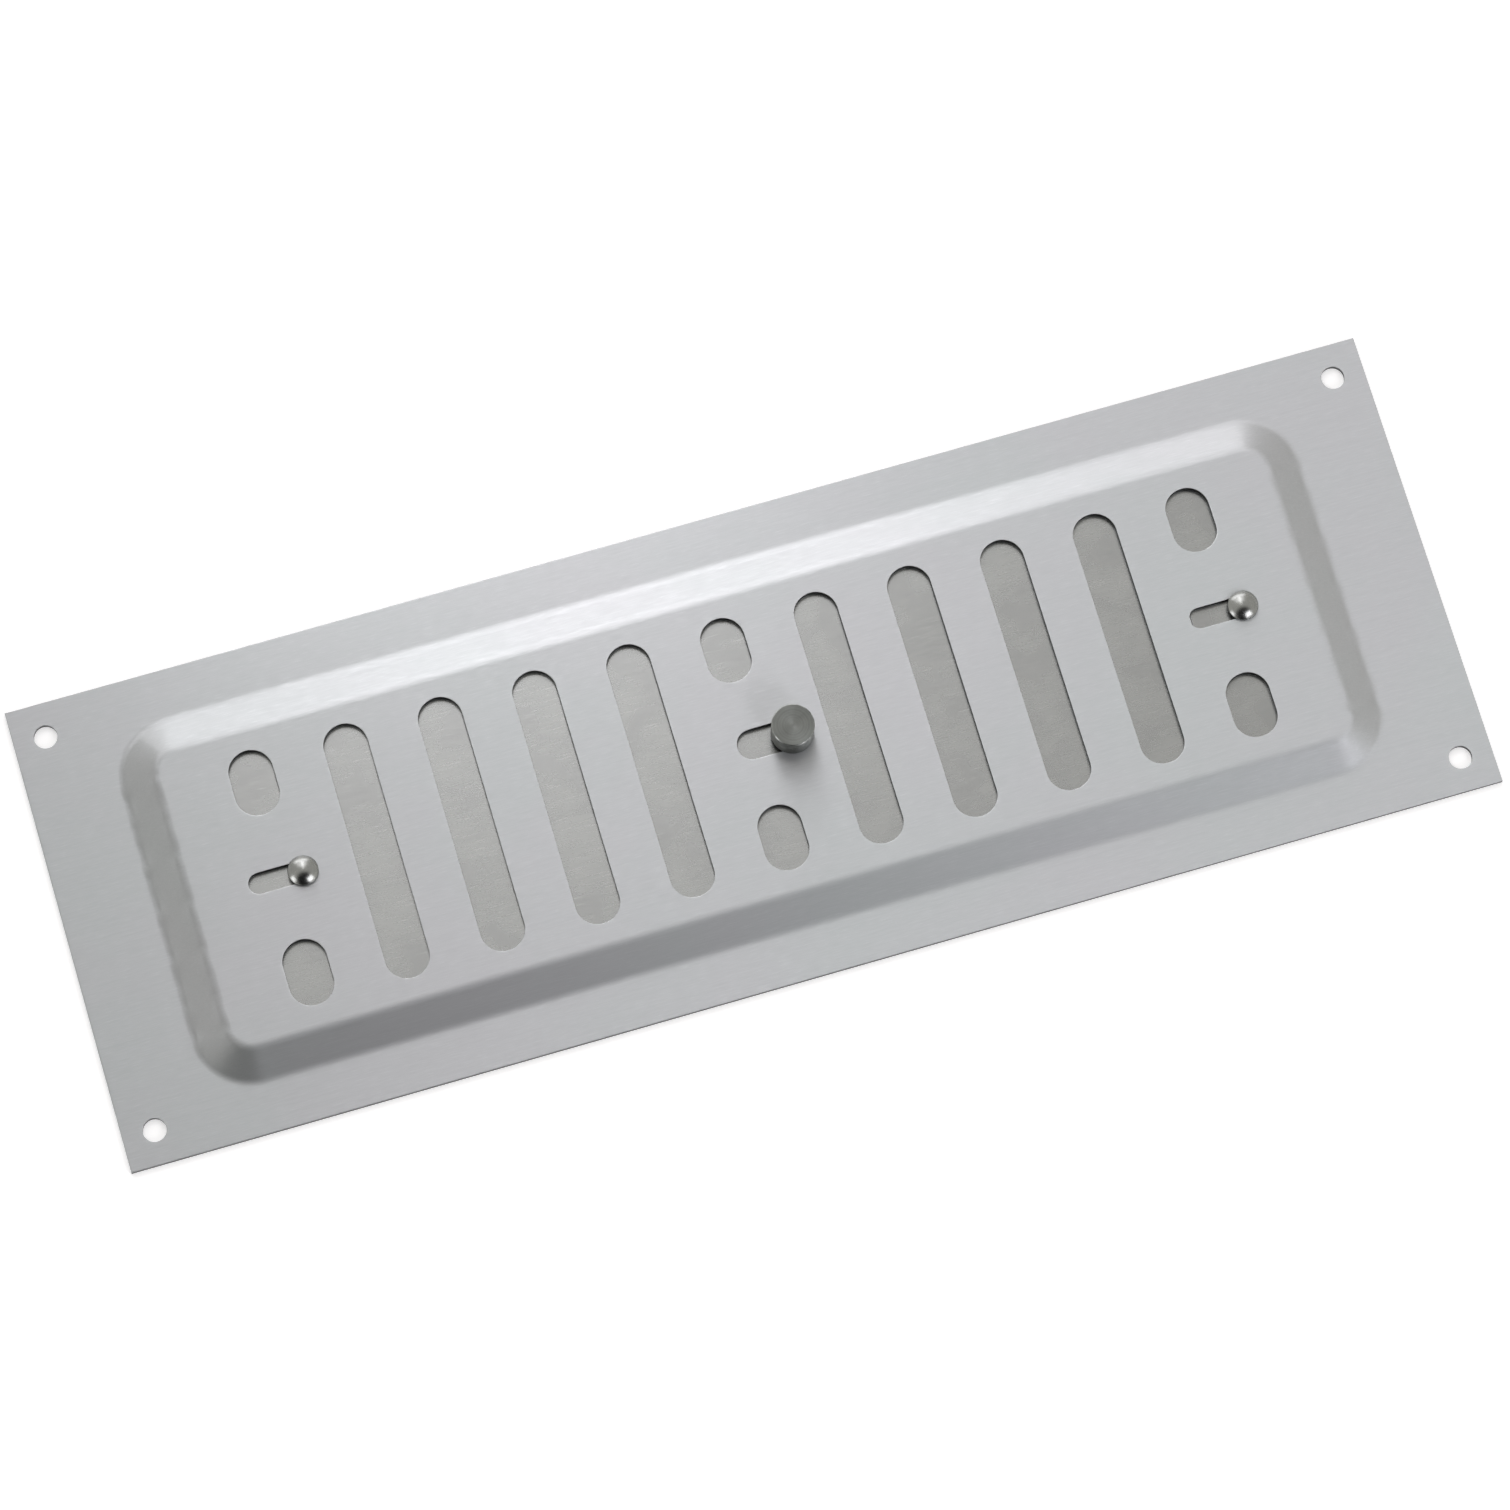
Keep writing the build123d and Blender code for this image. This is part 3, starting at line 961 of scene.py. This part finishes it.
def buildKnob(x, size, levels, materials):
    radius, top = size["radius"], size["top"]
    across, down = size["chamfer"]
    corners = [
        (0, top), (radius - across, top), (radius, top - down), (radius, levels["headBack"]),
        *pinCorners(size, levels), (0, levels["tailBack"]),
    ]
    profile = roundedProfile(corners, size["rounding"])
    # the top is faced on a lathe: up to two chamfers from the side it dips towards its middle, by
    # the dish times one less the square of the share of the way out
    flatRadius = radius - 2 * across
    faced = (profile[:, 1] > top - tolerance) & (profile[:, 0] < flatRadius)
    inner = np.linspace(0, flatRadius, size["dishPoints"])
    dish = np.c_[inner, top - size["dish"] * (1 - (inner / flatRadius) ** 2)]
    profile = np.concatenate([dish, profile[~faced]])
    # the chamfer carries a painted highlight through the rim value
    highlightIn, highlightDown = size["highlightReach"]
    onChamfer = (profile[:, 0] > radius - across - highlightIn) & (profile[:, 1] > top - down - highlightDown)
    rim = onChamfer.astype(float)
    # the side and all below it have the second material, darkened as painted shade
    split = int(np.argmax(profile[:, 1] < top - down - size["sideStart"]))
    strips = [
        turnedStrip(profile[:split + 1], x, size["segments"], 0, rim[:split + 1]),
        turnedStrip(profile[split:], x, size["segments"], 1),
    ]
    meshFromStrips("knobTurned", strips, materials, "shutter", "control_knob")


knobMetals = [makeMetal("turnedKnob", turnedFinish), makeMetal("shadedKnobSide", shadedSideFinish)]
buildKnob(shutter["knobX"], knob, stack, knobMetals)


rivet = {
    "headRadius": 2.5,
    "headEdge": 0.25,
    "domeHeight": 1.1,
    "domePoints": 20,
    "neck": 1.6,
    "spigot": 1.2,
    "bore": 0.7,
    "boreTop": 1.4,
    "tail": 1.9,
    "tailTaper": 0.25,
    "rounding": (0.07, 0.04, 0.05, 0.03, 0.03, 0.2, 0.25, 0.2, 0.1),
    "segments": 96,
}
polishedFinish = {
    "toneA": (0.30, 0.31, 0.30),
    "toneB": (0.34, 0.35, 0.335),
    "patchSize": 1.5,
    "markLength": 1e6,
    "markWidth": 0.35,
    "markTone": (0.6, 0.6, 0.58),
    "markShare": 0.12,
    "fineLength": 1e6,
    "fineWidth": 0.1,
    "wearAndHighlightTone": (0.8, 0.8, 0.78),
    "roughWide": 0.25,
    "roughSharp": 0.18,
    "bumpStrength": 0.06,
    "bumpDepth": 0.01,
    "turned": True,
}


# The dome is the cap of a ball, whose radius follows from the cap's own radius and height
def buildRivet(name, node, x, size, levels, materials):
    radius, height, bore = size["headRadius"], size["domeHeight"], size["bore"]
    foot = levels["headBack"] + size["headEdge"]
    ball = (radius**2 + height**2) / (2 * height)
    turn = np.linspace(0, math.asin(radius / ball), size["domePoints"])
    dome = np.c_[ball * np.sin(turn), foot + height - ball * (1 - np.cos(turn))]
    corners = [
        (radius, foot), (radius, levels["headBack"]), *pinCorners(size, levels),
        (bore, levels["tailBack"]), (bore, size["boreTop"]), (0, size["boreTop"]),
    ]
    profile = np.concatenate([dome, roundedProfile(corners, size["rounding"])])
    strips = [turnedStrip(profile, x, size["segments"])]
    meshFromStrips(name, strips, materials, "shutter", node)


washer = {
    "rivetRadii": (1.25, 3.0),  # inner and outer
    "knobRadii": (1.45, 4.0),
    "rounding": (0.06, 0.09, 0.06, 0.06),
    "segments": 96,
}
zincFinish = {
    "toneA": (0.46, 0.46, 0.44),
    "toneB": (0.58, 0.58, 0.56),
    "patchSize": 2.0,
    "markLength": 1.0,
    "markWidth": 0.5,
    "markTone": (0.7, 0.7, 0.68),
    "markShare": 0.25,
    "fineLength": 0.5,
    "fineWidth": 0.3,
    "wearAndHighlightTone": (0.8, 0.8, 0.78),
    "wearAndHighlightAmount": 0.5,
    "roughWide": 0.4,
    "roughSharp": 0.28,
    "roughPatch": 0.1,
    "bumpStrength": 0.15,
    "bumpDepth": 0.01,
}


# A ring with a four-sided section, walked round from the middle of its front
def buildWasher(name, node, x, radii, size, levels, materials):
    inner, outer = radii
    middle = (inner + outer) / 2
    back, front = levels["washerBack"], levels["washerFront"]
    corners = [
        (middle, front), (outer, front), (outer, back), (inner, back), (inner, front), (middle, front)
    ]
    strips = [turnedStrip(roundedProfile(corners, size["rounding"]), x, size["segments"])]
    meshFromStrips(name, strips, materials, "shutter", node)


polishedRivet = makeMetal("polishedRivet", polishedFinish)
zincWasher = makeMetal("zincWasher", zincFinish)
leftX, rightX = shutter["rivetX"]
for name, node, x in (("rivetLeft", "left_rivet", leftX), ("rivetRight", "right_rivet", rightX)):
    buildRivet(name, node, x, rivet, stack, [polishedRivet])
for name, node, x, radii in (
    ("washerLeft", "left_rivet_washer", leftX, washer["rivetRadii"]),
    ("washerRight", "right_rivet_washer", rightX, washer["rivetRadii"]),
    ("washerKnob", "knob_washer", shutter["knobX"], washer["knobRadii"]),
):
    buildWasher(name, node, x, radii, washer, stack, [zincWasher])


# Floor: pale, keeps the shadow, and shows white to the camera and in reflections. It has no
# underside, so that a view from below shows the vent's back.
floorLook = {"size": 8.0, "colour": (0.8, 0.8, 0.8), "glow": 0.5}


def buildFloor(look):
    half = look["size"] / 2
    mesh = bpy.data.meshes.new("floor")
    corners = [(x, y, 0) for x, y in boxCorners(-half, half, -half, half)]
    mesh.from_pydata(corners, [], [(0, 1, 2, 3)])
    floor = bpy.data.objects.new("floor", mesh)
    scene.collection.objects.link(floor)
    material = bpy.data.materials.new("paleFloor")
    tree = emptyTree(material)
    rays = addNode(tree, "LightPath", (-800, 200)).outputs
    seen = addMath(tree, "MAXIMUM", (-600, 200), (rays["Is Camera Ray"], rays["Is Glossy Ray"]))
    seenToo = addMath(tree, "MAXIMUM", (-420, 200), (seen, rays["Is Transmission Ray"]))
    glow = addMath(tree, "MULTIPLY", (-240, 200), (seenToo, look["glow"]))
    emission = addNode(tree, "Emission", (-60, 200), None, {"Strength": glow})
    diffuse = addNode(tree, "BsdfDiffuse", (-60, 60), None, {"Color": (*look["colour"], 1)})
    both = addNode(tree, "AddShader", (140, 140), None, {0: emission.outputs[0], 1: diffuse.outputs[0]})
    behind = addNode(tree, "NewGeometry", (-60, 420)).outputs["Backfacing"]
    clear = addNode(tree, "BsdfTransparent", (140, 20))
    sides = {0: behind, 1: both.outputs[0], 2: clear.outputs[0]}
    oneSided = addNode(tree, "MixShader", (340, 140), None, sides)
    addNode(tree, "OutputMaterial", (560, 140), None, {"Surface": oneSided.outputs[0]})
    mesh.materials.append(material)


buildFloor(floorLook)
print("floor made")


# Studio: five soft lamps round the vent, in a grey room that is dark behind and below the camera.
# Each is given by its azimuth (from +Y towards +X) and elevation, its width and height as seen from the
# vent, all in degrees, and its radiance.
studio = {
    "distance": 1.2,
    "lamps": [
        {"name": "rightLamp", "at": (150.7, 33.7), "span": (29.5, 25.3), "radiance": 4.2},
        {"name": "topLamp", "at": (1.0, 39.4), "span": (46.1, 40.0), "radiance": 0.92},
        {"name": "topStrip", "at": (4.7, 51.3), "span": (11.1, 42.7), "radiance": 2.1},
        {"name": "lowLamp", "at": (1.0, 18.0), "span": (60.0, 18.0), "radiance": 1.45},
        {"name": "leftLamp", "at": (-106.1, 18.1), "span": (25.0, 20.1), "radiance": 2.5},
    ],
    "lampColour": (1.0, 0.98, 1.02),
    "roomColour": (1.03, 1.0, 0.96),
    "roomLevel": 0.64,
    "darkAt": (186.0, 42.0),
    "darkShare": 0.0,
    "darkSpan": (0.6, 0.85),
}


def towards(azimuth, elevation):
    azimuth, elevation = math.radians(azimuth), math.radians(elevation)
    flat = math.cos(elevation)
    return Vector((flat * math.sin(azimuth), flat * math.cos(azimuth), math.sin(elevation)))


def buildStudio(look):
    for lamp in look["lamps"]:
        wide, high = (2 * look["distance"] * math.tan(math.radians(span) / 2) for span in lamp["span"])
        data = bpy.data.lights.new(lamp["name"], "AREA")
        data.shape = "RECTANGLE"
        data.size = wide
        data.size_y = high
        data.color = look["lampColour"]
        data.energy = lamp["radiance"] * math.pi * wide * high  # an area lamp's power
        box = bpy.data.objects.new(lamp["name"], data)
        direction = towards(*lamp["at"])
        box.location = direction * look["distance"]
        box.rotation_euler = direction.to_track_quat("Z", "Y").to_euler()
        scene.collection.objects.link(box)

    scene.world = bpy.data.worlds.new("studioRoom")
    tree = emptyTree(scene.world)
    place = addNode(tree, "TexCoord", (-900, 0)).outputs["Generated"]
    values = {0: place, 1: towards(*look["darkAt"])}
    toDark = addNode(tree, "VectorMath", (-700, 0), {"operation": "DOT_PRODUCT"}, values)
    values = {
        "Value": toDark.outputs["Value"],
        "From Min": look["darkSpan"][0],
        "From Max": look["darkSpan"][1],
        "To Min": look["roomLevel"],
        "To Max": look["roomLevel"] * look["darkShare"],
    }
    level = addNode(tree, "MapRange", (-500, 0), {"interpolation_type": "SMOOTHSTEP"}, values)
    values = {"Color": (*look["roomColour"], 1), "Strength": level.outputs["Result"]}
    background = addNode(tree, "Background", (-250, 0), None, values)
    addNode(tree, "OutputWorld", (0, 0), None, {"Surface": background.outputs[0]})


buildStudio(studio)
print("studio made")
